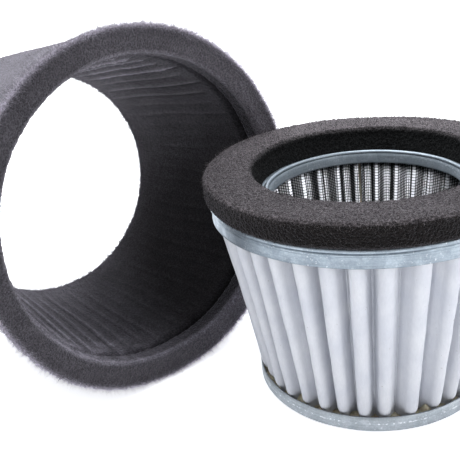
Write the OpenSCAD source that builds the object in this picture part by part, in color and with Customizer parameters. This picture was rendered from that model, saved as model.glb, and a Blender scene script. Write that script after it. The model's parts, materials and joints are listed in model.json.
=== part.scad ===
// Conical pleated air filter element with a foam gasket, and the foam sleeve that fits over it.
// Millimetres. Origin: centre of the bottom cap's resting face. +Z: up the element's centre line.
// +Y: the way the sleeve's narrow end points, as the sleeve lies on its side behind the element.

/* [Element] */
// Outer radius of the foam gasket
gasket_r = 55; // [54.5:0.5:58]
// Inner radius of the foam gasket at its top face
gasket_hole_r = 38.8; // [38:0.1:42]
// Height of the foam gasket when free
gasket_h = 8; // [5:0.1:10]
// Height of the gasket's seat above the resting face
seat_z = 72.3; // [70:0.1:76]
// Outer radius of the flange's rolled bead
bead_r = 54; // [53.6:0.1:54.6]
// Inner radius of the neck that the clean air leaves through
neck_r = 32.5; // [31.5:0.1:33.2]
// Outer radius of the bottom cap
bottom_r = 41.2; // [40.6:0.1:42.2]
// Height of the bottom cap's band
band_h = 6.1; // [5:0.1:8]

/* [Pleats] */
// Number of pleats round the element
pleats = 37; // [34:1:40]
// Radial depth of a pleat at the bottom end
pleat_depth = 5.4; // [5:0.1:9]
// Thickness of the filter paper
paper_t = 0.6; // [0.4:0.05:0.6]
// Thickness of the wire mesh sheet
mesh_t = 0.4; // [0.3:0.05:0.4]

/* [Sleeve] */
// Inner radius of the sleeve at its mouth
mouth_r = 55.9; // [55.5:0.1:57]
// Inner radius of the sleeve at its narrow end
narrow_r = 48.4; // [47:0.1:49.5]
// Length of the sleeve along its own centre line
sleeve_l = 88; // [80:1:92]
// Thickness of the foam wall
foam_t = 9.6; // [8:0.1:10.2]
// Sideways distance from the element's centre line to the sleeve's
sleeve_side = 51.7; // [50:0.1:60]
// Distance from the element's centre line back to the middle of the mouth
sleeve_back = 55.6; // [55.6:0.1:66]

/* [Hidden] */
$fn = 96;
gap = 0.05;                               // between surfaces that only touch
sheet_t = 0.6;                            // steel sheet
glue_t = 0.2;                             // gasket's adhesive film
glue_in = 1.2;                            // film's inset from the gasket's edges
bead_wire = 0.7;                          // radius of the flange's curled outer edge
rim_wire = 1.2;                           // radius of the neck's rolled rim
gasket_lean = 2.6;                        // the gasket's hole is this much smaller at the seat
skirt_r = bead_r - 0.8;                   // outer radius of the top cap's skirt
skirt_drop = 6.4;                         // seat down to the skirt's lower edge
collar_drop = 4;                          // seat down to the neck collar's lower edge
rim_rise = 0.8;                           // the neck's rolled rim above the seat
cap_top = seat_z - sheet_t - gap;
pot_top = cap_top - sheet_t;              // upper face of the top potting
pot_h = 3.2;
pot_over = 2.5;                           // potting reaches this far inside the pleats
pleat_z0 = 2.2;
pleat_z1 = pot_top - 0.6;
pleat_h = pleat_z1 - pleat_z0;
fold_r0 = bottom_r - sheet_t - 1;         // pleats' outer radius at the bottom end
fold_r1 = skirt_r - sheet_t - 0.5;        // pleats' outer radius at the top end
flare = fold_r1 / fold_r0;
pitch_a = 360 / pleats;
outer_bend = 0.36 * pitch_a * fold_r0 * PI / 180;
inner_bend = 0.29 * pitch_a * (fold_r0 - pleat_depth) * PI / 180;
mesh_off = paper_t / 2 + gap + mesh_t / 2;
seam_turn = 40;                           // where the paper's ends meet, clockwise from +Y
glue_lip = 1;                             // bottom potting stops this far below the band's edge
corner = 2;                               // bottom cap's outer corner radius
cone_a = atan((mouth_r - narrow_r) / sleeve_l);
lip_l = 7;                                // smooth band inside the mouth
lip_groove = 1;                           // depth of the groove behind the band
groove_l = 4.5;                           // length of the groove, back to the plain wall

foam_dark = [0.12, 0.12, 0.13];
steel = [0.66, 0.69, 0.73];
paper = [0.90, 0.91, 0.93];
cream = [0.86, 0.80, 0.62];
wire = [0.22, 0.23, 0.25];

// The zigzag's centre line: each pleat is an outer fold, then an inner fold half a pitch on.
// off moves the line outwards from the paper's middle.
function turned(p, i) = let (t = -i * pitch_a)
    [p[0] * cos(t) - p[1] * sin(t), p[0] * sin(t) + p[1] * cos(t)];
function fold_out(i, off) = [for (a = [-80, -40, 0, 40, 80])
    turned([(outer_bend + off) * sin(a), fold_r0 - outer_bend + (outer_bend + off) * cos(a)], i)];
function fold_in(i, off) = [for (a = [-60, 0, 60])
    turned([(inner_bend - off) * sin(a),
            fold_r0 - pleat_depth + inner_bend - (inner_bend - off) * cos(a)], i + 0.5)];
function pleat_line(off) = [for (i = [0:pleats - 1]) each concat(fold_out(i, off), fold_in(i, off))];

module ring(r0, r1, z0, z1) {
    rotate_extrude() translate([r0, z0]) square([r1 - r0, z1 - z0]);
}

// A folded sheet of thickness t that flares from the bottom end to the top end.
module pleated(off, t) {
    rotate([0, 0, -seam_turn]) translate([0, 0, pleat_z0])
        linear_extrude(height = pleat_h, scale = flare) difference() {
            polygon(pleat_line(off + t / 2));
            polygon(pleat_line(off - t / 2));
        }
}

module gasket() {
    color(foam_dark) translate([0, 0, seat_z + glue_t]) rotate_extrude() polygon([
        [gasket_hole_r - gasket_lean, 0], [gasket_r, 0], [gasket_r, gasket_h], [gasket_hole_r, gasket_h]
    ]);
}

module gasket_adhesive() {
    color(cream) ring(gasket_hole_r + glue_in, gasket_r - glue_in * 2, seat_z, seat_z + glue_t);
}

// Ring pressing that carries the gasket: curled outer bead, flat seat, rolled neck rim and collar.
module seal_flange() {
    color(steel) rotate_extrude() {
        translate([neck_r + rim_wire, seat_z - sheet_t])
            square([bead_r - bead_wire - neck_r - rim_wire, sheet_t]);
        difference() {
            translate([bead_r - bead_wire, seat_z - bead_wire]) circle(bead_wire);
            square([skirt_r + gap, seat_z - sheet_t]);
        }
        translate([neck_r, seat_z - collar_drop]) square([sheet_t, collar_drop]);
        translate([neck_r + rim_wire, seat_z + rim_rise - rim_wire]) circle(rim_wire);
    }
}

// Ring pressing whose skirt holds the top end of the pleats.
module top_cap() {
    color(steel) rotate_extrude() {
        translate([neck_r + 2.6, pot_top]) square([skirt_r - neck_r - 2.6, sheet_t]);
        translate([skirt_r - sheet_t, seat_z - skirt_drop])
            square([sheet_t, cap_top - seat_z + skirt_drop]);
    }
}

module top_potting() {
    pot_in = fold_r1 - pleat_depth * flare - pot_over;
    color(cream) ring(pot_in, skirt_r - sheet_t, pot_top - pot_h, pot_top);
}

module pleat_pack() {
    color(paper) pleated(0, paper_t);
}

// Glued joint that closes the paper into a ring, in one valley.
module pleat_seam() {
    seam_in = fold_r0 - pleat_depth + 0.1;
    color(cream) rotate([0, 0, -seam_turn - pitch_a / 2]) translate([0, 0, pleat_z0])
        linear_extrude(height = pleat_h, scale = flare)
            translate([-0.6, seam_in]) square([1.2, 0.6 * pleat_depth]);
}

// Fine square mesh folded together with the paper, on its inner side.
module wire_mesh() {
    color(wire) pleated(-mesh_off, mesh_t);
}

module bottom_potting() {
    pot_in = fold_r0 - pleat_depth - pot_over;
    color(cream) rotate_extrude() {
        translate([pot_in, sheet_t]) square([bottom_r - corner - pot_in, corner]);
        translate([pot_in, corner])
            square([bottom_r - sheet_t - pot_in, band_h - glue_lip - corner]);
    }
}

// Pressed dish with a rounded corner.
module bottom_cap() {
    color(steel) rotate_extrude() {
        square([bottom_r - corner, sheet_t]);
        translate([bottom_r - sheet_t, corner]) square([sheet_t, band_h - corner]);
        translate([bottom_r - corner, corner]) intersection() {
            difference() {
                circle(corner);
                circle(corner - sheet_t);
            }
            translate([0, -corner]) square(corner);
        }
    }
}

// Tapered foam tube lying on its side, its mouth towards the element.
module foam_sleeve() {
    mouth_out = mouth_r + foam_t;
    lip_r = mouth_r - lip_l * tan(cone_a);
    color(foam_dark)
        translate([-sleeve_side, sleeve_back, mouth_out * cos(cone_a)]) rotate([-90 - cone_a, 0, 0])
            rotate_extrude() polygon([
                [mouth_r, 0], [mouth_out, 0],
                [narrow_r + foam_t, sleeve_l], [narrow_r, sleeve_l],
                [lip_r - groove_l * tan(cone_a), lip_l + groove_l],
                [lip_r + lip_groove, lip_l + 1.6], [lip_r + lip_groove, lip_l + 0.6], [lip_r, lip_l]
            ]);
}

gasket();
gasket_adhesive();
seal_flange();
top_cap();
top_potting();
pleat_pack();
pleat_seam();
wire_mesh();
bottom_potting();
bottom_cap();
foam_sleeve();
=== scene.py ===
"""Looks for the conical pleated air filter and its foam sleeve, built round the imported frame.

Sizes inside the shape functions are in millimetres, and most come from the CAD nodes' boxes.
MM turns them into metres.
"""

import json
import math

import bpy
import numpy as np
from mathutils import Matrix, Vector


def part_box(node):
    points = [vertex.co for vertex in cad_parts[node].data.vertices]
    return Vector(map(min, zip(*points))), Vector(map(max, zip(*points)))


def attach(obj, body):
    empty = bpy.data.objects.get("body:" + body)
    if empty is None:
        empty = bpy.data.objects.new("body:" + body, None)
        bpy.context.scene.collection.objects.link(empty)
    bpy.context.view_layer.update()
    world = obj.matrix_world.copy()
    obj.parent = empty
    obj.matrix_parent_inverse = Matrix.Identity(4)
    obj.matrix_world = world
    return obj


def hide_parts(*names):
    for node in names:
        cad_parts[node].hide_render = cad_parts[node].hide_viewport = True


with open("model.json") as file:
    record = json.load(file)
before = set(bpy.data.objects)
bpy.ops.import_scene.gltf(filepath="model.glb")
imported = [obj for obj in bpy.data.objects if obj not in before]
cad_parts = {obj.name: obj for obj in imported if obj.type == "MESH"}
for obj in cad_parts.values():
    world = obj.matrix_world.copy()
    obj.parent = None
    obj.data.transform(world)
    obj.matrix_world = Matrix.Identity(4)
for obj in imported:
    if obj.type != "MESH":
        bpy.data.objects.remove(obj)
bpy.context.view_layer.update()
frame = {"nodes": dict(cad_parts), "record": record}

MM = 0.001
TAU = 2 * math.pi
UP = np.array([0.0, 0.0, 1.0])


def size_of(node):
    """A node's box in millimetres: outer radius about the element's axis, lowest z, highest z."""
    low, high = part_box(node)
    return (high[0] - low[0]) / 2 / MM, low[2] / MM, high[2] / MM


# Element
GASKET_R, GASKET_Z0, GASKET_Z1 = size_of("gasket")
FLANGE_R, FLANGE_Z0, RIM_Z = size_of("seal_flange")
SKIRT_R, SKIRT_Z0, CAP_Z1 = size_of("top_cap")
BAND_R, _, BAND_Z = size_of("bottom_cap")
_, PLEAT_Z0, PLEAT_Z1 = size_of("pleat_pack")
NECK_R = frame["record"]["mounts"][0]["dims"]["r_mm"]
GLUE_T = 0.2                      # adhesive film between the gasket and its seat
SEAT_Z = GASKET_Z0 - GLUE_T
GASKET_HOLE_R = 38.8              # at the gasket's top face
GASKET_LEAN = 2.6                 # the hole is this much smaller at the seat
FAR_AZIMUTH = math.radians(52)    # the side of the element that faces away from the camera

# Pleats
PLEATS = 37
PLEAT_DEPTH = 5.4                 # at the bottom end
FOLD_R0 = BAND_R - 1.6            # pleats' outer radius at the bottom end
FLARE = (SKIRT_R - 1.1) / FOLD_R0  # their outer radius at the top over that at the bottom
PAPER_T = 0.5
SEAM_TURN = math.radians(40)      # brings the seam, and the folds with it, to the far side
SEAM_AZIMUTH = math.pi / 2 - SEAM_TURN

# Sleeve
SLEEVE_LOW, SLEEVE_HIGH = (Vector(corner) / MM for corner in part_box("foam_sleeve"))
FOAM_T = 9.6
MOUTH_R = (SLEEVE_HIGH.x - SLEEVE_LOW.x) / 2 - FOAM_T
NARROW_R = 48.4
SLEEVE_L = 88
CONE_A = math.atan((MOUTH_R - NARROW_R) / SLEEVE_L)
LIP_L = 7                         # the mouth's smooth lip, in front of the groove
CREASES = 58                      # pleat lines printed into the inner wall


# ---------- noise ----------

def lattice(ix, iy, iz, seed):
    """A repeatable value from 0 to 1 for each whole-number lattice point, by mixing with large primes."""
    h = (ix * 374761393 + iy * 668265263 + iz * 1440662683 + seed * 974634777) & 0xFFFFFFFF
    h = ((h ^ (h >> 13)) * 1274126177) & 0xFFFFFFFF
    return ((h ^ (h >> 16)) & 0xFFFF) / 65535.0


def noise(points, cell, seed=0):
    """Smooth noise from -1 to 1 at points of shape (..., 3), with features about one cell across."""
    q = points / cell
    base = np.floor(q).astype(np.int64)
    f = q - base
    f = f * f * (3 - 2 * f)
    total = 0
    for dx in (0, 1):
        for dy in (0, 1):
            for dz in (0, 1):
                share = np.where(dx, f[..., 0], 1 - f[..., 0])
                share = share * np.where(dy, f[..., 1], 1 - f[..., 1])
                share = share * np.where(dz, f[..., 2], 1 - f[..., 2])
                value = lattice(base[..., 0] + dx, base[..., 1] + dy, base[..., 2] + dz, seed)
                total = total + share * value
    return total * 2 - 1


def cells(points, cell, seed=0):
    """Distance to the nearest of a scatter of cell centres: 0 in a cell's middle, about 0.8 on a wall."""
    q = points / cell
    base = np.floor(q).astype(np.int64)
    too_far = 9.0
    nearest = np.full(q.shape[:-1], too_far)
    for dx in (-1, 0, 1):
        for dy in (-1, 0, 1):
            for dz in (-1, 0, 1):
                spot = [base[..., k] + d for k, d in enumerate((dx, dy, dz))]
                apart = sum((q[..., k] - spot[k] - lattice(*spot, seed + k + 1)) ** 2 for k in range(3))
                nearest = np.minimum(nearest, apart)
    return np.sqrt(nearest)


def foam_pits(points, seed):
    """Height of open-cell foam in units of its roughness: cell walls stand up, cell middles sink."""
    coarse = np.clip(cells(points, 1.25, seed), 0, 1) - 0.55
    return coarse * 0.9 + noise(points, 0.5, seed + 9) * 0.7 + noise(points, 0.3, seed + 10) * 0.35


# ---------- falloffs ----------

def rise(value, start, width):
    """0 below start, 1 from start + width on, and even in between."""
    return np.clip((value - start) / width, 0, 1)


def bell(value, middle, width):
    """1 at the middle, fading on both sides."""
    return np.exp(-((value - middle) / width) ** 2)


def near_ring(reach, height, ring_r, ring_z, spread):
    """1 on a ring of the given radius and height, fading away from it."""
    return np.exp(-((reach - ring_r) ** 2 + (height - ring_z) ** 2) / spread)


def toward(angle, azimuth):
    """1 facing the azimuth, 0 from a right angle on."""
    return np.clip(np.cos(angle - azimuth), 0, 1)


# ---------- meshes ----------

def mesh_object(name, points, faces, smooth=True):
    """An object from points in millimetres and faces of point numbers."""
    mesh = bpy.data.meshes.new(name)
    mesh.from_pydata((points * MM).tolist(), [], faces.tolist())
    mesh.update()
    if smooth:
        mesh.polygons.foreach_set("use_smooth", [True] * len(mesh.polygons))
    obj = bpy.data.objects.new(name, mesh)
    bpy.context.scene.collection.objects.link(obj)
    return obj


def grid_object(name, points):
    """An object from a grid of points in millimetres, shape (rows, columns, 3), closed both ways."""
    rows, cols = points.shape[:2]
    index = np.arange(rows * cols).reshape(rows, cols)
    index = np.vstack([index, index[:1]])
    index = np.hstack([index, index[:, :1]])
    quads = np.stack([index[:-1, :-1], index[:-1, 1:], index[1:, 1:], index[1:, :-1]], -1)
    return mesh_object(name, points.reshape(-1, 3), quads.reshape(-1, 4))


def mark(obj, name, values):
    """Stores one number a point for a material to read."""
    layer = obj.data.attributes.new(name, "FLOAT", "POINT")
    layer.data.foreach_set("value", np.ascontiguousarray(values, dtype=np.float32).ravel())


def arc(centre_r, centre_z, r, start, end, count):
    """Points on an arc in the (radius, height) plane, angles in degrees."""
    angles = [math.radians(start + (end - start) * i / (count - 1)) for i in range(count)]
    return [(centre_r + r * math.cos(a), centre_z + r * math.sin(a)) for a in angles]


def resample(outline, counts):
    """Splits each side of a closed outline into the given number of even steps."""
    steps = []
    for a, b, count in zip(outline, outline[1:] + outline[:1], counts):
        for i in range(count):
            t = i / count
            steps.append((a[0] + (b[0] - a[0]) * t, a[1] + (b[1] - a[1]) * t))
    return steps


def sheet(centre, t):
    """Closed outline of a bent sheet of thickness t whose middle follows the points."""
    c = np.array(centre, float)
    tangent = np.gradient(c, axis=0)
    tangent /= np.linalg.norm(tangent, axis=1)[:, None]
    side = np.stack([-tangent[:, 1], tangent[:, 0]], 1) * t / 2
    return [tuple(p) for p in np.vstack([c + side, (c - side)[::-1]])]


def lathe(outline, columns):
    """Turns a closed (radius, height) outline about Z: grid of points and of outward directions."""
    o = np.array(outline, float)
    a = np.arange(columns) * TAU / columns
    step = np.roll(o, -1, 0) - np.roll(o, 1, 0)
    step /= np.linalg.norm(step, axis=1)[:, None] + 1e-12
    out = np.stack([step[:, 1], -step[:, 0]], 1)
    area = np.sum(o[:, 0] * np.roll(o[:, 1], -1) - np.roll(o[:, 0], -1) * o[:, 1])
    out *= 1 if area > 0 else -1

    def spin(v):
        return np.stack([v[:, :1] * np.cos(a), v[:, :1] * np.sin(a), np.repeat(v[:, 1:], columns, 1)], -1)

    return spin(o), spin(out)


def reach_of(points):
    """Distance from the Z axis to each point."""
    return np.hypot(points[..., 0], points[..., 1])


def radial(points):
    """Unit direction from the Z axis out to each point."""
    d = points * np.array([1.0, 1.0, 0.0])
    return d / (np.linalg.norm(d, axis=-1, keepdims=True) + 1e-9)


# ---------- materials ----------

def grey(r, g=None, b=None):
    """A colour, or a plain grey from one number."""
    return (r, r if g is None else g, r if b is None else b, 1.0)


class Nodes:
    """Short way to write a procedural material. Textures work in metres on the object's own axes."""

    def __init__(self, name):
        self.mat = bpy.data.materials.new(name)
        self.mat.use_nodes = True
        self.tree = self.mat.node_tree
        self.shader = self.tree.nodes["Principled BSDF"]
        self.place = self.add("ShaderNodeTexCoord").outputs["Object"]

    def add(self, kind, inputs=None, **settings):
        node = self.tree.nodes.new(kind)
        for key, value in settings.items():
            setattr(node, key, value)
        for key, value in (inputs or {}).items():
            self.put(node.inputs[key], value)
        return node

    def put(self, socket, value):
        if isinstance(value, bpy.types.NodeSocket):
            self.tree.links.new(value, socket)
        else:
            socket.default_value = value

    def stretched(self, scale):
        return self.add("ShaderNodeMapping", {"Vector": self.place, "Scale": scale}).outputs["Vector"]

    def noise(self, size_mm, detail=2, vector=None, rough=0.5):
        n = self.add("ShaderNodeTexNoise", {"Vector": vector or self.place, "Scale": 1 / (size_mm * MM),
                                            "Detail": detail, "Roughness": rough})
        return n.outputs["Fac"]

    def voronoi(self, size_mm, output="Distance"):
        v = self.add("ShaderNodeTexVoronoi", {"Vector": self.place, "Scale": 1 / (size_mm * MM)})
        return v.outputs[output]

    def ramp(self, value, low, high, to_low=0.0, to_high=1.0):
        r = self.add("ShaderNodeMapRange", {"Value": value, "From Min": low, "From Max": high,
                                            "To Min": to_low, "To Max": to_high})
        return r.outputs["Result"]

    def maths(self, operation, a, b=0.0):
        return self.add("ShaderNodeMath", {0: a, 1: b}, operation=operation).outputs[0]

    def mix(self, fac, a, b, blend="MIX"):
        m = self.add("ShaderNodeMix", {"Factor": fac, 6: a, 7: b}, data_type="RGBA", blend_type=blend)
        return m.outputs[2]

    def shaded(self, colour, shade):
        """The colour times a number."""
        even = self.add("ShaderNodeCombineColor", {0: shade, 1: shade, 2: shade}).outputs[0]
        return self.mix(1.0, colour, even, "MULTIPLY")

    def attribute(self, name):
        return self.add("ShaderNodeAttribute", attribute_name=name).outputs["Fac"]

    def facing(self, axis):
        """One axis of the surface direction, -1 to 1."""
        normal = self.add("ShaderNodeNewGeometry").outputs["Normal"]
        return self.add("ShaderNodeSeparateXYZ", {0: normal}).outputs[axis]

    def bump(self, height, depth_mm, strength=1.0, under=None):
        b = self.add("ShaderNodeBump", {"Height": height, "Distance": depth_mm * MM, "Strength": strength})
        if under:
            self.put(b.inputs["Normal"], under)
        return b.outputs["Normal"]

    def finish(self, **values):
        for key, value in values.items():
            self.put(self.shader.inputs[key.replace("_", " ")], value)
        return self.mat


def foam_material(name, side, top, inside, painted_glint_colour, fuzz, contrast):
    """Open-cell polyurethane: dark pits, paler cell walls, odd painted glints, and painted light on upward
    faces.

    Pieces may store "inside" (0 open air, 1 deep in a hole), where the inside tone is painted shade, and
    "crest" for painted light and shade (below 0 painted shade in a crease, up to 1 and a little more painted
    light on a crest, an edge or a strand).
    """
    n = Nodes(name)
    wall = n.ramp(n.voronoi(0.72), 0.10, 0.70)
    grain = n.ramp(n.noise(0.42, 3, rough=0.8), 0.34, 0.66)
    up = n.ramp(n.facing("Z"), 0.15, 0.9)
    within = n.attribute("inside")
    open_air = n.ramp(within, 0, 1, 1, 0)

    # Painted light and shade: upward faces take the top tone, the sides take the darker side tone, and deep
    # in a hole the inside tone paints shade.
    tone = n.mix(within, n.mix(up, side, top), inside)
    stain = n.ramp(n.noise(13, 3), 0.3, 0.7, 0.0, 0.25)
    tone = n.mix(stain, tone, grey(0.010, 0.008, 0.009))
    shade = n.ramp(n.maths("MULTIPLY", wall, grain), 0, 1, 1.1 - contrast, 1.1 + contrast)
    # crest brings painted light and painted shade into the grain.
    crest_gain = 3.2
    shade = n.maths("MULTIPLY", shade, n.maths("POWER", crest_gain, n.attribute("crest")))
    colour = n.shaded(tone, shade)

    # Painted glints: pale specks on open upward faces.
    glint = n.ramp(n.noise(0.5, 1), 0.70, 0.82)
    glint = n.maths("MULTIPLY", glint, n.maths("MULTIPLY", open_air, n.ramp(up, 0, 1, 0.15, 0.8)))
    colour = n.mix(glint, colour, painted_glint_colour)
    pits = n.bump(wall, 0.3, 0.8)
    return n.finish(Base_Color=colour, Roughness=0.9, Normal=n.bump(grain, 0.18, 0.8, pits),
                    Sheen_Weight=n.maths("MULTIPLY", open_air, fuzz), Sheen_Roughness=0.45,
                    Sheen_Tint=grey(0.78, 0.76, 0.84), Specular_IOR_Level=0.12)


def paper_material():
    """Pleated filter paper: cool white felted fibre with faint blotches and odd dark flecks."""
    n = Nodes("filter_paper")
    fibre = n.noise(0.5, 4, vector=n.stretched((1, 1, 0.25)), rough=0.65)
    blotch = n.ramp(n.noise(9, 3), 0.3, 0.7)
    colour = n.mix(blotch, grey(0.56, 0.575, 0.625), grey(0.63, 0.64, 0.675))
    colour = n.mix(n.ramp(fibre, 0.35, 0.65, 0.16, 0.0), colour, grey(0.40, 0.41, 0.45))
    fleck = n.maths("MULTIPLY", n.ramp(n.noise(0.9, 1), 0.74, 0.80), n.ramp(n.noise(7, 1), 0.5, 0.62))
    colour = n.mix(n.maths("MULTIPLY", fleck, 0.75), colour, grey(0.20, 0.17, 0.13))
    soft = n.bump(n.noise(3.2, 2), 0.25, 0.35)
    return n.finish(Base_Color=colour, Roughness=0.85, Normal=n.bump(fibre, 0.05, 0.6, soft),
                    Specular_IOR_Level=0.3)


def steel_material(name, light, dark, rough, scuff_z=None):
    """Galvanised sheet: crystal spangle, dull water marks, fine scratches and bright spots worn by rubbing.

    With scuff_z, in millimetres, a broken bright line also runs round the part at that height.
    A piece may store "dull" (0 bright metal, 1 grey oxide).
    """
    n = Nodes(name)
    spangle = n.add("ShaderNodeSeparateColor", {0: n.voronoi(2.6, "Color")}).outputs[0]
    stain = n.ramp(n.noise(8, 5, rough=0.7), 0.40, 0.60)
    grain = n.ramp(n.noise(0.6, 3, rough=0.7), 0.35, 0.65)
    streak = n.ramp(n.noise(1.3, 4, vector=n.stretched((0.15, 0.15, 3.0)), rough=0.7), 0.45, 0.62)
    pale_marks = n.maths("MULTIPLY", n.ramp(n.noise(0.7, 1), 0.64, 0.74), n.ramp(n.noise(6, 2), 0.42, 0.58))
    if scuff_z:
        height = n.add("ShaderNodeSeparateXYZ", {0: n.place}).outputs["Z"]
        off_line = n.maths("ABSOLUTE", n.maths("SUBTRACT", height, scuff_z * MM))
        line = n.ramp(off_line, 0.1 * MM, 0.4 * MM, 1, 0)
        scuff = n.maths("MULTIPLY", line, n.ramp(n.noise(1.0, 2), 0.50, 0.60))
        pale_marks = n.maths("MAXIMUM", pale_marks, n.maths("MULTIPLY", scuff, 1.6))

    colour = n.mix(n.ramp(spangle, 0, 1, 0.0, 0.6), light, dark)
    colour = n.mix(n.maths("MULTIPLY", stain, 0.6), colour, n.mix(0.65, light, dark))
    colour = n.mix(n.ramp(grain, 0, 1, 0.28, 0.0), colour, n.mix(0.6, dark, grey(0.05)))
    colour = n.mix(n.maths("MULTIPLY", streak, 0.30), colour, n.mix(0.5, dark, grey(0.1)))
    colour = n.mix(n.maths("MULTIPLY", pale_marks, 0.45), colour, grey(0.95, 0.97, 1.0))

    dull = n.attribute("dull")
    roughness = n.ramp(spangle, 0, 1, rough - 0.06, rough + 0.08)
    roughness = n.maths("ADD", roughness, n.ramp(stain, 0, 1, 0.0, 0.14))
    roughness = n.maths("ADD", roughness, n.ramp(dull, 0, 1, 0.0, 0.15))
    surface = n.bump(n.noise(1.3, 3, rough=0.6), 0.05, 0.6)
    return n.finish(Base_Color=colour, Metallic=n.ramp(dull, 0, 1, 0.92, 0.25), Roughness=roughness,
                    Normal=n.bump(streak, 0.02, 0.6, surface))


def glue_material(name, light, dark):
    """Set adhesive: cream, slightly glossy, with bubbles and darker thick places."""
    n = Nodes(name)
    bubbles = n.ramp(n.voronoi(1.3), 0.1, 0.4)
    colour = n.mix(n.ramp(n.noise(3, 3), 0.35, 0.7), light, dark)
    colour = n.mix(n.ramp(bubbles, 0, 1, 0.35, 0.0), colour, dark)
    return n.finish(Base_Color=colour, Roughness=0.38, Normal=n.bump(n.noise(1.1, 3), 0.25, 0.6),
                    Subsurface_Weight=0.1, Subsurface_Scale=0.8 * MM)


def wire_material():
    """Dark steel wire with a dull sheen and a little bare metal."""
    n = Nodes("mesh_wire")
    bare = n.ramp(n.noise(0.9, 3, rough=0.7), 0.52, 0.7)
    colour = n.mix(bare, grey(0.006, 0.007, 0.008), grey(0.045, 0.047, 0.05))
    return n.finish(Base_Color=colour, Metallic=0.35, Roughness=n.ramp(bare, 0, 1, 0.65, 0.45))


# In both foams the top tone is painted light, the side tone painted shade, and the inside tone painted shade
# deep in holes; the speck colour is for painted glints.
FOAM_SLEEVE = foam_material("foam_sleeve", side=grey(0.170, 0.160, 0.180), top=grey(0.205, 0.196, 0.228),
                            inside=grey(0.036, 0.034, 0.038), painted_glint_colour=grey(0.34, 0.32, 0.35),
                            fuzz=0.35, contrast=0.6)
FOAM_GASKET = foam_material("foam_gasket", side=grey(0.016, 0.014, 0.013), top=grey(0.100, 0.091, 0.097),
                            inside=grey(0.024, 0.025, 0.026), painted_glint_colour=grey(0.50, 0.47, 0.48),
                            fuzz=0.22, contrast=0.8)
PAPER = paper_material()
STEEL = steel_material("galvanised_steel", grey(0.42, 0.475, 0.53), grey(0.28, 0.33, 0.38), rough=0.37)
# The bottom cap's steel is a paler copy of the same galvanised steel: painted light.
CAP_STEEL = steel_material("galvanised_cap", grey(0.56, 0.60, 0.64), grey(0.42, 0.46, 0.50), rough=0.44,
                           scuff_z=3.7)
GLUE = glue_material("potting", grey(0.72, 0.66, 0.50), grey(0.30, 0.26, 0.18))
BOND = glue_material("bond", grey(0.70, 0.66, 0.55), grey(0.5, 0.45, 0.36))
WIRE = wire_material()


def place(obj, body, material, node):
    """Gives a piece its material, in a single slot, and its body, and hides the CAD node it stands for."""
    obj.data.materials.clear()
    obj.data.materials.append(material)
    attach(obj, body)
    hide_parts(node)
    return obj


# ---------- pleats ----------

def jitter(seed):
    """A repeatable value from -1 to 1 for each pleat."""
    return np.random.default_rng(seed).uniform(-1, 1, PLEATS)


def crowding(azimuth):
    """How far a fold near an azimuth is pushed round: a few folds in front stand wider apart."""
    from_seam = (azimuth - SEAM_AZIMUTH) % TAU

    def opened(start, width):
        t = rise(from_seam, math.radians(start), math.radians(width))
        return t * t * (3 - 2 * t)

    closing = rise(TAU - from_seam, 0, math.radians(160))
    first, second = math.radians(2.1), math.radians(6.6)
    return (first * opened(151, 18) + second * opened(174, 22)) * closing


def fold_curve(angles, half_width, centre, bulge, count, limit, sign):
    """A bent fold about each angle, half_width wide and bulging out (sign 1) or in (sign -1)."""
    a = np.radians(np.linspace(-limit, limit, count))
    x = half_width[..., None] * np.sin(a)
    y = centre[..., None] + sign * bulge[..., None] * np.cos(a)
    c, s = np.cos(angles)[..., None], np.sin(angles)[..., None]
    return np.stack([x * c + y * s, y * c - x * s], -1)


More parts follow.
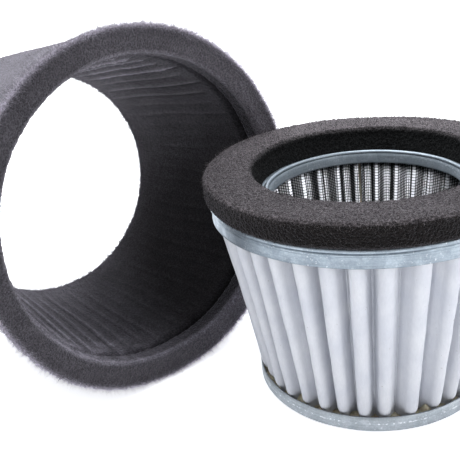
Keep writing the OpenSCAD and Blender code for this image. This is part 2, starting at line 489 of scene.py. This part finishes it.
def pleat_sheet(heights, n_out, n_wall, n_in):
    """The folded sheet's middle line at each height, shape (heights, columns, 2), and its outward normals.

    Each pleat is a broad outer fold, a wall, a tight inner fold and a wall back. Folds are a little
    uneven: they lean, wander and bow, and near the bottom cap they tuck in.
    """
    up = ((heights - PLEAT_Z0) / (PLEAT_Z1 - PLEAT_Z0))[:, None]
    pitch = TAU / PLEATS
    index = np.arange(PLEATS)
    uneven = 0.05

    drift = 0.02 * np.sin(3 * (index * pitch + SEAM_TURN + 2.23))
    crowd = crowding(SEAM_AZIMUTH - index * pitch) + drift
    mid = index * pitch - crowd + pitch * uneven * (jitter(1) + jitter(2) * (up - 0.5))
    valley = (mid + np.roll(mid, -1, 1)) / 2
    valley[:, -1] += math.pi
    valley = valley + pitch * uneven * jitter(3)

    before = crowding(SEAM_AZIMUTH - (index - 0.5) * pitch)
    after = crowding(SEAM_AZIMUTH - (index + 0.5) * pitch)
    spread = np.clip((before - after) / pitch, 0, 1)
    width = 0.27 * pitch * (1 + uneven * jitter(4) + 0.6 * spread)
    bow = 0.22 * np.sin(up * 5 + 3 * jitter(5)) + 0.18 * jitter(6)
    grow = 1 + (FLARE - 1) * up
    low = 1 - rise(heights, BAND_Z - 0.8, 3.4)[:, None]
    tuck = 1 - np.sqrt(1 - low ** 2 * 0.98)

    outer = (FOLD_R0 - 0.1 + bow) * grow - 1.3 * tuck
    half = width * (FOLD_R0 - 2) * grow * (1 - 0.16 * tuck)
    nose = 2.3 * grow
    inner = (FOLD_R0 - PLEAT_DEPTH + 0.25 * jitter(7)) * grow
    bend = 0.11 * pitch * (FOLD_R0 - PLEAT_DEPTH) * grow
    depth = 1.0 * grow
    fold_out = fold_curve(mid, half, outer - nose, nose, n_out, 86, 1)
    fold_in = fold_curve(valley, bend, inner + depth, depth, n_in, 80, -1)

    def wall(a, b):
        t = (np.arange(1, n_wall + 1) / (n_wall + 1))[:, None]
        return a[:, :, None] * (1 - t) + b[:, :, None] * t

    following = np.roll(fold_out, -1, 1)[:, :, 0]
    there = wall(fold_out[:, :, -1], fold_in[:, :, 0])
    back = wall(fold_in[:, :, -1], following)
    line = np.concatenate([fold_out, there, fold_in, back], 2).reshape(len(heights), -1, 2)
    c, s = math.cos(SEAM_TURN), math.sin(SEAM_TURN)
    line = line @ np.array([[c, -s], [s, c]])
    step = np.roll(line, -1, 1) - np.roll(line, 1, 1)
    step /= np.linalg.norm(step, axis=-1, keepdims=True)
    return line, np.stack([-step[..., 1], step[..., 0]], -1)


def at_height(flat, heights):
    """Adds a height to each row of points in the plane."""
    return np.concatenate([flat, np.repeat(heights[:, None, None], flat.shape[1], 1)], -1)


def build_pleats():
    """The folded paper as one closed skin, with rows packed closer where the folds tuck into the cap."""
    heights = np.concatenate([np.linspace(PLEAT_Z0, BAND_Z - 1, 4),
                              np.linspace(BAND_Z - 0.4, BAND_Z + 3.2, 9),
                              np.linspace(BAND_Z + 6, PLEAT_Z1, 16)])
    line, out = pleat_sheet(heights, 11, 3, 6)
    spots = at_height(line, heights)
    rough = noise(spots, 5.0, 21)[..., None] * 0.14 + noise(spots, 1.8, 22)[..., None] * 0.04
    outside = at_height(line + out * (PAPER_T / 2 + rough), heights)
    inside = at_height(line - out * (PAPER_T / 2 - rough), heights)
    obj = grid_object("pleated_paper", np.concatenate([outside, inside[::-1]]))
    return place(obj, "element", PAPER, "pleat_pack")


def wire_run(points, side, lift, radius):
    """Three-sided wire along each row of points: shape (wires, steps, 3) becomes (wires, steps, 3, 3)."""
    low = -side * radius / 2
    across = lift * radius * 0.87
    return np.stack([points + corner for corner in (side * radius, low + across, low - across)], 2)


def wire_faces(wires, steps, closed):
    """Quads of three-sided wires, numbered as wire_run lays them out."""
    base = np.arange(wires)[:, None, None] * steps * 3
    j = np.arange(steps if closed else steps - 1)[:, None]
    k = np.arange(3)
    ahead = (j + 1) % steps
    beside = (k + 1) % 3
    corners = [j * 3 + k, j * 3 + beside, ahead * 3 + beside, ahead * 3 + k]
    return np.stack([base + corner for corner in corners], -1).reshape(-1, 4)


def build_wire_mesh():
    """Woven wire folded with the paper: rings that follow the folds, and straight wires up the walls."""
    pitch, radius = 1.1, 0.15
    gap = PAPER_T / 2 + radius + 0.05
    heights = np.arange(BAND_Z - 1.6, PLEAT_Z1 - 1, pitch)
    line, out = pleat_sheet(heights, 5, 1, 4)
    rings = at_height(line - out * gap, heights)
    ring_points = wire_run(rings, at_height(out, heights * 0), UP, radius)
    ring_faces = wire_faces(len(heights), line.shape[1], True)

    levels = np.linspace(heights[0], heights[-1], 7)
    fine, fine_out = pleat_sheet(levels, 21, 12, 9)
    middle = len(levels) // 2
    along = np.cumsum(np.linalg.norm(np.diff(fine[middle], axis=0), axis=-1))
    picks = np.searchsorted(along, np.arange(0, along[-1], pitch))
    posts = at_height(fine - fine_out * (gap + 0.1), levels)[:, picks].transpose(1, 0, 2)
    outward = at_height(fine_out, levels * 0)[:, picks].transpose(1, 0, 2)
    post_points = wire_run(posts, outward, np.cross(outward, UP), radius)
    post_faces = wire_faces(len(picks), len(levels), False) + ring_points.size // 3
    points = np.concatenate([ring_points.reshape(-1, 3), post_points.reshape(-1, 3)])
    obj = mesh_object("woven_wire", points, np.concatenate([ring_faces, post_faces]), smooth=False)
    return place(obj, "element", WIRE, "wire_mesh")


# ---------- steel ----------

def pressed(name, outline, seed, dent, material, node, dull=None):
    """A turned steel pressing with slight dents and waves. dull gives the oxide at each point."""
    points, _ = lathe(outline, 288)
    squashed = points * np.array([1, 1, 2.0])
    wave = noise(squashed, 9.0, seed) * dent + noise(points, 3.0, seed + 1) * dent * 0.3
    points = points + radial(points) * wave[..., None]
    obj = grid_object(name, points)
    if dull:
        mark(obj, "dull", dull(points))
    return place(obj, "element", material, node)


def build_flange():
    """Rolled outer bead, flat seat, rolled rim round the neck and a short grey collar below it."""
    t = 0.5
    bead = 0.78
    roll = 0.85
    back = NECK_R + 0.75          # the collar's middle radius
    seat = SEAT_Z - t / 2
    curl = arc(FLANGE_R + 0.25 - bead, SEAT_Z - bead, bead - t / 2, 90, -120, 12)
    flat = [(FLANGE_R - bead - 0.6, seat), (NECK_R + 4, seat), (NECK_R + 3.0, seat + 0.1)]
    rim = arc(back + 1.0, RIM_Z - roll, roll - t / 2, -10, 200, 16)
    collar = [(back + 0.42, RIM_Z - 1.25), (back + 0.32, RIM_Z - 1.45), (back + 0.2, RIM_Z - 1.75),
              (back + 0.12, RIM_Z - 2.1), (back + 0.05, RIM_Z - 2.8), (back, FLANGE_Z0 + 0.5),
              (back, FLANGE_Z0)]

    def dull(points):
        in_neck = reach_of(points) < back + 1.5
        return in_neck * (1 - rise(points[..., 2], RIM_Z - 1.4, 0.3))

    outline = sheet(curl[::-1] + flat + rim + collar, t)
    return pressed("seal_flange_pressing", outline, 31, 0.10, STEEL, "seal_flange", dull)


def build_top_cap():
    """Flat top, a shoulder bead under the flange and a skirt whose lower edge turns out a little."""
    t = 0.5
    top = CAP_Z1 - t / 2
    wall = SKIRT_R - t / 2
    bead = 0.42
    flat = [(NECK_R + 2.4, top), (wall - 5, top), (wall - 1.9, top)]
    turned = [(wall - 1.2, top - 0.15), (wall - 0.7, top - 0.5), (wall - 0.5, top - 0.8),
              (wall - 0.35, top - 1.0)]
    shoulder = arc(wall - 0.1, top - 1.0 - bead, bead, 80, -40, 6)
    skirt = [(wall - 0.06, top - 1.95), (wall - 0.10, top - 2.3), (wall, top - 2.8),
             (wall, SKIRT_Z0 + 1.1), (wall + 0.06, SKIRT_Z0 + 0.5), (wall + 0.22, SKIRT_Z0)]
    outline = sheet(flat + turned + shoulder + skirt, t)
    return pressed("top_cap_pressing", outline, 41, 0.12, STEEL, "top_cap")


def build_bottom_cap():
    """A shallow dish with a rounded corner and an upright band."""
    t = 0.6
    corner = 2.0
    r = BAND_R - t / 2
    dish = [(0.05, t / 2), (12, t / 2), (26, t / 2), (BAND_R - corner - 3, t / 2)]
    bend = arc(BAND_R - corner, corner, corner - t / 2, -90, 0, 9)
    band = [(r - 0.02, corner + 0.6), (r, BAND_Z - 1.4), (r, BAND_Z)]
    return pressed("bottom_cap_pressing", sheet(dish + bend + band, t), 51, 0.09, CAP_STEEL, "bottom_cap")


def build_bottom_potting():
    """Cream adhesive: a lumpy floor between the pleats that creeps up into some of the valleys."""
    rows, cols = 44, 720
    r_in, r_out = FOLD_R0 - PLEAT_DEPTH - 2.4, BAND_R - 0.62
    floor_z = 3.3
    foot_z = 2.1
    r = np.linspace(r_in, r_out, rows)[:, None]
    a = np.arange(cols) * TAU / cols
    flat = np.stack([r * np.cos(a), r * np.sin(a), np.zeros((rows, cols))], -1)
    lump = noise(flat, 2.2, 61) * 0.4 + noise(flat, 0.9, 62) * 0.2
    in_valley = 0.5 - 0.5 * np.cos(PLEATS * (SEAM_AZIMUTH - a + crowding(a)))
    blob = np.clip(noise(flat, 4.5, 63) + 0.35, 0, 1) * in_valley
    creep = bell(r, r_out - 3.4, 1.7) * 3.0
    flat[..., 2] = floor_z + lump + creep * blob
    flat[0, :, 2] = flat[1, :, 2] - 0.6
    flat[-1, :, 2] = floor_z + 0.5 + lump[-1] * 0.3
    foot = flat[[-1, 0]].copy()
    foot[..., 2] = foot_z
    obj = grid_object("bottom_adhesive", np.concatenate([flat, foot]))
    return place(obj, "element", GLUE, "bottom_potting")


# ---------- foam ----------

def strands(name, points, out, marks, weight, count, length, seed):
    """Short broken struts standing on cut foam: three-sided spikes rooted just under the surface.

    weight says how likely a strand stands at each point, and length how long it is about there.
    """
    thick, bury, scatter, disorder = 0.065, 0.25, 0.2, 0.55
    rng = np.random.default_rng(seed)
    spots, normals = points.reshape(-1, 3), out.reshape(-1, 3)
    chance = weight.ravel()
    pick = rng.choice(len(spots), count, p=chance / chance.sum())
    lean = normals[pick] + rng.normal(0, disorder, (count, 3))
    lean /= np.linalg.norm(lean, axis=1)[:, None]
    side = np.cross(lean, rng.normal(0, 1, (count, 3)))
    side /= np.linalg.norm(side, axis=1)[:, None]
    other = np.cross(lean, side)
    base = spots[pick] + rng.normal(0, scatter, (count, 3)) - normals[pick] * bury
    longer = np.minimum(0.2 + rng.exponential(0.6, count), 1.8)
    tip = base + lean * (length.ravel()[pick] * longer)[:, None]
    feet = [side, other * 0.87 - side * 0.5, -other * 0.87 - side * 0.5]
    verts = np.stack([base + thick * foot for foot in feet] + [tip], 1).reshape(-1, 3)
    first = np.arange(count)[:, None] * 4
    faces = np.concatenate([first + np.array(f) for f in ((0, 1, 3), (1, 2, 3), (2, 0, 3), (0, 2, 1))])
    obj = mesh_object(name, verts, faces, smooth=False)
    for key, values in marks.items():
        mark(obj, key, np.repeat(values.ravel()[pick], 4))
    return obj


def build_gasket():
    """The foam ring: cut edges slightly rounded, a leaning hole, a little sag and open cells."""
    z0, z1 = GASKET_Z0 - 0.15, GASKET_Z1
    r0, r1 = GASKET_HOLE_R, GASKET_R
    c = 0.9
    outline = [(r0 - GASKET_LEAN, z0), (r1 - c, z0), (r1, z0 + c), (r1, z1 - c), (r1 - c, z1),
               (r0 + c, z1 + 0.4), (r0 - 0.2, z1 - c), (r0 - 0.6, z1 - 3)]
    points, out = lathe(resample(outline, [14, 3, 16, 3, 36, 3, 5, 14]), 940)
    in_hole = np.clip(-np.sum(out * radial(points), -1) * 2, 0, 1)
    in_hole = in_hole * (1 - rise(points[..., 2], z1 - 1.6, 2.2))
    sag = noise(points * np.array([1, 1, 0.0]), 26.0, 71)[..., None] * 0.3
    wander = noise(points * np.array([1, 1, 0.3]), 18.0, 72)[..., None] * 0.45
    points = points + radial(points) * wander
    points = points + UP * sag * ((points[..., 2:] - z0) / (z1 - z0))
    points = points + out * foam_pits(points, 73)[..., None] * 0.30

    reach = reach_of(points)
    height = points[..., 2]
    deeper = 1.6                  # the painted edge highlight reaches this much farther down than across
    top_edge = near_ring(reach, height, r1, z1, 4.0)
    # Painted highlight round the outer top edge.
    painted_edge_highlight = near_ring(reach, height / deeper, r1, z1 / deeper, 2.0)
    # Painted light over the top on the far side.
    far_side = np.clip(0.2 + np.cos(np.arctan2(points[..., 1], points[..., 0]) - FAR_AZIMUTH), 0, 1)
    # Painted light only: the edge highlight and the far side of the top.
    pale_marks = 0.4 * painted_edge_highlight + 0.5 * far_side * rise(height, z1 - 1.5, 1.5)
    obj = grid_object("foam_gasket_ring", points)
    # The hole's wall takes the inside tone as painted shade; the crest marks carry the painted light.
    mark(obj, "inside", in_hole)
    mark(obj, "crest", pale_marks)

    bushy = 0.7 - 0.65 * in_hole + 0.8 * top_edge
    # Strands at the top edge get more painted light.
    pale = {"inside": in_hole, "crest": pale_marks + 0.6 * top_edge}
    fuzz = strands("foam_gasket_strands", points, out, pale, bushy, 32000, 0.7 + 0.7 * top_edge, 74)
    for piece in (fuzz, obj):
        place(piece, "element", FOAM_GASKET, "gasket")


def imprint(angle, along):
    """Height of the creases along the sleeve's inner wall, towards the middle, in millimetres.

    They are strong above and faint elsewhere, each one has its own strength and start, and both
    ends of the sleeve stay smooth.
    """
    wander = 0.5 * np.sin(along / 9.0 + 5 * np.sin(2 * angle))
    wander = wander + 0.8 * np.sin(along / 31.0 + 3 * np.cos(angle))
    phase = CREASES * angle + wander + 1.1 * np.sin(3 * angle + 0.7)
    turn = (phase / TAU) % 1.0
    peak = 0.68
    crest = np.where(turn < peak, turn / peak, (1 - turn) / (1 - peak)) ** 3
    trough = bell(turn, 0.92, 0.08)
    strength = 0.06 + 1.1 * toward(angle, -math.pi / 2 - 0.30) ** 1.5 + 0.35 * toward(angle, 2.5) ** 4
    own = 0.85 + 0.30 * np.sin(2.3 * np.floor(phase / TAU))
    late = 7 + 5 * np.sin(CREASES * angle / 2 + 1.3) * np.sin(5 * angle)
    start = rise(along, LIP_L + late, 3.0)
    fade = 1 - rise(along, SLEEVE_L - 24, 20)
    return start * fade * strength * own * (crest * 1.8 - 0.4 - trough)


def sleeve_outline(out_m, out_n):
    """Section of the foam wall: a rounded brow, a flare behind the mouth, and a groove behind the lip."""
    c = 1.1
    brow = 2.1
    worn_r, worn_z = 2.6, 3.0     # the inner corner at the narrow end
    wall_r = MOUTH_R - LIP_L * math.tan(CONE_A)
    outline = [(MOUTH_R + c, 0.1)]
    outline += arc(out_m - brow, brow, brow, -90, 0, 6)
    outline += [(out_m - 0.3, 5.0), (out_m - 2.0, 11.0), (out_m - 2.6, 17.0)]
    outline += [(out_n, SLEEVE_L - c), (out_n - c, SLEEVE_L)]
    outline += [(NARROW_R + worn_r, SLEEVE_L), (NARROW_R, SLEEVE_L - worn_z)]
    outline += [(wall_r - 0.4, LIP_L + 4.5), (wall_r + 1.6, LIP_L + 1.8), (wall_r + 1.5, LIP_L + 0.8)]
    outline += [(wall_r - 0.2, LIP_L), (MOUTH_R - 0.1, c)]
    return resample(outline, [14, 1, 1, 2, 1, 1, 3, 5, 5, 26, 2, 9, 2, 60, 5, 2, 2, 9, 3])


def sleeve_painted_shading(angle, along, reach, inner, ridges, near_end, out_m):
    """The sleeve's painted light and shade: above 0 painted light, below 0 painted shade.

    Angles are about the sleeve's own axis: minus a quarter turn is its top as it lies, and 0 is the
    side next to the element.
    """
    # Painted shade under the top of the inner wall.
    under_top = np.clip(-np.sin(angle), 0, 1) * rise(along, LIP_L, 4)
    # The side the painted shade falls on, most between the element's side and the underside.
    shaded = np.clip(0.25 + 0.9 * np.cos(angle - 0.45), 0, 1)
    # Painted highlight along the mouth's inner corner, on the lit side.
    corner = 0.5 * (1 - shaded) * bell(along, 1.2, 1.3)
    # Painted shade in the groove behind the lip.
    groove = 1.4 * bell(along, LIP_L + 1.3, 1.2)
    # The lip band, painted darker on its shaded side.
    lip = rise(along, 1.5, 1.5) * (1 - rise(along, LIP_L, 1.0))
    # Painted light on the ridges' crests and painted shade in their creases, and painted light near the
    # narrow end.
    painted_shading = inner * (1.6 * ridges - 0.40 * under_top + corner - groove + 0.9 * near_end - 1.5 * lip * shaded)
    # Painted highlight round the mouth's outer corner.
    return painted_shading + 0.9 * near_ring(reach, along, out_m, 0.5, 2.0)


def face_painted_shading(angle, along):
    """Painted light and painted shade on the sides of the mouth's flat face."""
    face = 1 - rise(along, 0.5, 1.0)
    return face * (0.55 * toward(angle, 0.75) ** 3 - 0.45 * toward(angle, -2.5) - 0.35 * toward(angle, 1.4))


def rest_on_floor(obj):
    """Flattens what would reach below the floor."""
    where = np.zeros(len(obj.data.vertices) * 3, dtype=np.float32)
    obj.data.vertices.foreach_get("co", where)
    where[2::3] = np.maximum(where[2::3], 0.05 * MM)
    obj.data.vertices.foreach_set("co", where)


def build_sleeve():
    """The foam tube, in its own axes with the mouth at z = 0, then laid on its side as the CAD solid is."""
    out_m, out_n = MOUTH_R + FOAM_T, NARROW_R + FOAM_T
    points, out = lathe(sleeve_outline(out_m, out_n), 680)
    angle = np.arctan2(points[..., 1], points[..., 0])
    along = points[..., 2]
    reach = reach_of(points)
    inward = -np.sum(out * radial(points), -1)
    inner = inward > 0.5
    near_end = np.exp(-(SLEEVE_L - along) / 3.0)
    # Painted shade behind the lip, stored as "inside": darkest on the lower side next to the element, fading
    # towards the narrow end.
    darkest = np.clip(0.35 + 0.9 * np.cos(angle - 0.6) - 0.3 * along / SLEEVE_L, 0, 1)
    behind_lip = np.clip(inward * 2, 0, 1) * rise(along, LIP_L, 2) * darkest * (1 - 0.6 * near_end)
    ridges = imprint(angle, along)
    # Blotchy painted light on the inner wall's lower side away from the element, near the mouth.
    painted_light_low = toward(angle, 2.3) ** 3 * bell(along, 0, 30) * rise(along, 0, 3)
    # All the tube's painted light and shade, stored as "crest".
    painted_shading = sleeve_painted_shading(angle, along, reach, inner, ridges, near_end, out_m) + face_painted_shading(angle, along)
    painted_shading = painted_shading + 0.6 * inner * painted_light_low * (1 + 0.9 * noise(points, 2.6, 86))
    painted_shading = np.clip(painted_shading, -1.5, 0.9)

    points = points - radial(points) * (inner * ridges)[..., None]
    wobble = 0.45 * np.cos(2 * angle + 0.6) + 0.3 * np.cos(3 * angle + along / 60)
    wobble = wobble + noise(points, 30.0, 81) * 0.35
    points = points + radial(points) * wobble[..., None]
    points = points + UP * (noise(points, 16.0, 82) * 0.4)[..., None]
    points = points + out * foam_pits(points, 83)[..., None] * 0.34
    obj = grid_object("foam_sleeve_tube", points)
    mark(obj, "inside", behind_lip)
    mark(obj, "crest", painted_shading)

    mouth_edge = near_ring(reach, along, out_m, 0.5, 5.0)
    far_edge = near_ring(reach, along, NARROW_R + 0.4, SLEEVE_L - 2.4, 5.0)
    bushy = (0.7 * np.exp(-along / 8) + 0.2) * (1 - behind_lip) + 2.2 * mouth_edge + 3.0 * far_edge + 0.02
    length = 1.0 + 1.3 * np.maximum(mouth_edge, far_edge)
    # Strands at the mouth's outer edge and at the narrow end get more painted light.
    pale = {"inside": behind_lip * (1 - far_edge), "crest": painted_shading + 0.8 * mouth_edge + 0.6 * far_edge}
    fuzz = strands("foam_sleeve_strands", points, out, pale, bushy, 100000, length, 84)

    middle = (SLEEVE_LOW.x + SLEEVE_HIGH.x) / 2
    mouth_y = SLEEVE_LOW.y + out_m * math.sin(CONE_A)
    mouth_z = out_m * math.cos(CONE_A)
    shift = Matrix.Translation(Vector((middle, mouth_y, mouth_z)) * MM)
    lie = shift @ Matrix.Rotation(-math.pi / 2 - CONE_A, 4, "X")
    for piece in (obj, fuzz):
        piece.data.transform(lie)
        rest_on_floor(piece)
        piece.data.update()
        place(piece, "sleeve", FOAM_SLEEVE, "foam_sleeve")


# ---------- stage ----------

WHITE = 0.90                      # just bright enough to come out white


def build_stage(view_dir):
    """A white floor that shines on the parts less than the camera sees, as a light table does."""
    n = Nodes("floor")
    seen = n.add("ShaderNodeLightPath").outputs["Is Camera Ray"]
    away = n.add("ShaderNodeVectorMath", {0: n.place, 1: (view_dir.x, view_dir.y, 0.0)},
                 operation="DOT_PRODUCT").outputs["Value"]
    shine = n.ramp(away, -0.02, 0.10, 0.20, 1.1)
    strength = n.add("ShaderNodeMix", {"Factor": seen, 2: shine, 3: WHITE * 0.6}).outputs[0]
    colour = n.mix(n.noise(400, 2), grey(0.90, 0.91, 0.925), grey(0.92, 0.925, 0.935))
    n.finish(Base_Color=colour, Roughness=0.9, Specular_IOR_Level=0.1,
             Emission_Color=grey(0.97, 0.98, 1.0), Emission_Strength=strength)
    half = 6.0
    mesh = bpy.data.meshes.new("floor")
    corners = [(-half, -half, 0), (half, -half, 0), (half, half, 0), (-half, half, 0)]
    mesh.from_pydata(corners, [], [(0, 1, 2, 3)])
    floor = bpy.data.objects.new("floor", mesh)
    floor.data.materials.append(n.mat)
    bpy.context.scene.collection.objects.link(floor)


def add_light(name, kind, where, target, watts):
    """A light at a place, turned towards a target."""
    data = bpy.data.lights.new(name, kind)
    data.energy = watts
    obj = bpy.data.objects.new(name, data)
    obj.location = where
    obj.rotation_euler = (Vector(target) - Vector(where)).to_track_quat("-Z", "Y").to_euler()
    bpy.context.scene.collection.objects.link(obj)
    return obj


def area_light(name, where, target, size, watts):
    """A soft round lamp."""
    data = add_light(name, "AREA", where, target, watts).data
    data.shape = "DISK"
    data.size = size


def snoot_light(name, where, target, degrees, watts, pieces):
    """A small lamp over the neck that lights only the pieces given. The camera doesn't see the lamp."""
    obj = add_light(name, "SPOT", where, target, watts)
    obj.data.spot_size = math.radians(degrees)
    obj.data.spot_blend = 0.6
    obj.data.shadow_soft_size = 0.008
    obj.visible_camera = False
    lit = bpy.data.collections.new(name + "_lit")
    for piece in pieces:
        lit.objects.link(piece)
    obj.light_linking.receiver_collection = lit


def build_world(view_dir):
    """A soft white tent: bright behind the object, dim on the viewer's side. The camera sees plain white."""
    world = bpy.data.worlds.new("tent")
    world.use_nodes = True
    nodes = world.node_tree.nodes
    link = world.node_tree.links.new
    dot = nodes.new("ShaderNodeVectorMath")
    dot.operation = "DOT_PRODUCT"
    dot.inputs[1].default_value = (view_dir.x, view_dir.y, 0.25)
    link(nodes.new("ShaderNodeTexCoord").outputs["Generated"], dot.inputs[0])
    spread = nodes.new("ShaderNodeMapRange")
    spread.inputs["From Min"].default_value = -1.0
    link(dot.outputs["Value"], spread.inputs["Value"])
    ramp = nodes.new("ShaderNodeValToRGB")
    link(spread.outputs["Result"], ramp.inputs["Fac"])
    levels = ((0.0, 0.30), (0.38, 0.70), (0.55, 1.05), (0.75, 1.5), (1.0, 1.9))
    stops = ramp.color_ramp.elements
    while len(stops) < len(levels):
        stops.new(0.5)
    for stop, (where, level) in zip(stops, levels):
        stop.position = where
        stop.color = grey(level / 2)
    seen = nodes.new("ShaderNodeMix")
    link(nodes.new("ShaderNodeLightPath").outputs["Is Camera Ray"], seen.inputs["Factor"])
    link(ramp.outputs["Color"], seen.inputs["A"])
    seen.inputs["B"].default_value = WHITE / 2
    back = nodes["Background"]
    link(seen.outputs["Result"], back.inputs["Strength"])
    back.inputs["Color"].default_value = (1.94, 1.97, 2.0, 1)
    bpy.context.scene.world = world


def build_camera():
    """Looks down at the two pieces from the front left, held slightly out of level."""
    aim = Vector((-0.0376, 0.0295, 0.060))
    heading, dip, roll, distance = -0.654, -0.398, 0.105, 0.2614
    turn = Matrix.Rotation(heading, 3, "Z") @ Matrix.Rotation(dip, 3, "X") @ Matrix.Rotation(roll, 3, "Y")
    ahead = turn @ Vector((0, 1, 0))
    data = bpy.data.cameras.new("camera")
    data.lens = 59.06
    data.sensor_width = 36
    data.clip_start = 0.005
    camera = bpy.data.objects.new("camera", data)
    camera_axes = turn @ Matrix.Rotation(math.pi / 2, 3, "X")
    camera.matrix_world = Matrix.Translation(aim - ahead * distance) @ camera_axes.to_4x4()
    bpy.context.scene.collection.objects.link(camera)
    bpy.context.scene.camera = camera
    return ahead


paper = build_pleats()
wire = build_wire_mesh()
build_flange()
build_top_cap()
build_bottom_cap()
build_bottom_potting()
build_gasket()
build_sleeve()
for node, material in (("gasket_adhesive", BOND), ("pleat_seam", BOND), ("top_potting", GLUE)):
    mesh = frame["nodes"][node].data
    mesh.materials.clear()
    mesh.materials.append(material)

view = build_camera()
build_stage(view)
build_world(view)
area_light("front", (0.06, -0.80, 0.42), (0.0, 0.0, 0.055), 0.35, 1.2)
area_light("top", (-0.05, 0.25, 0.9), (-0.02, 0.04, 0.04), 0.8, 4.5)
snoot_light("hole", (-0.022, -0.030, 0.102), (0.026, 0.035, 0.056), 56, 0.50, (paper, wire))
bpy.context.scene.view_settings.view_transform = "Standard"
bpy.context.scene.view_settings.look = "Medium High Contrast"
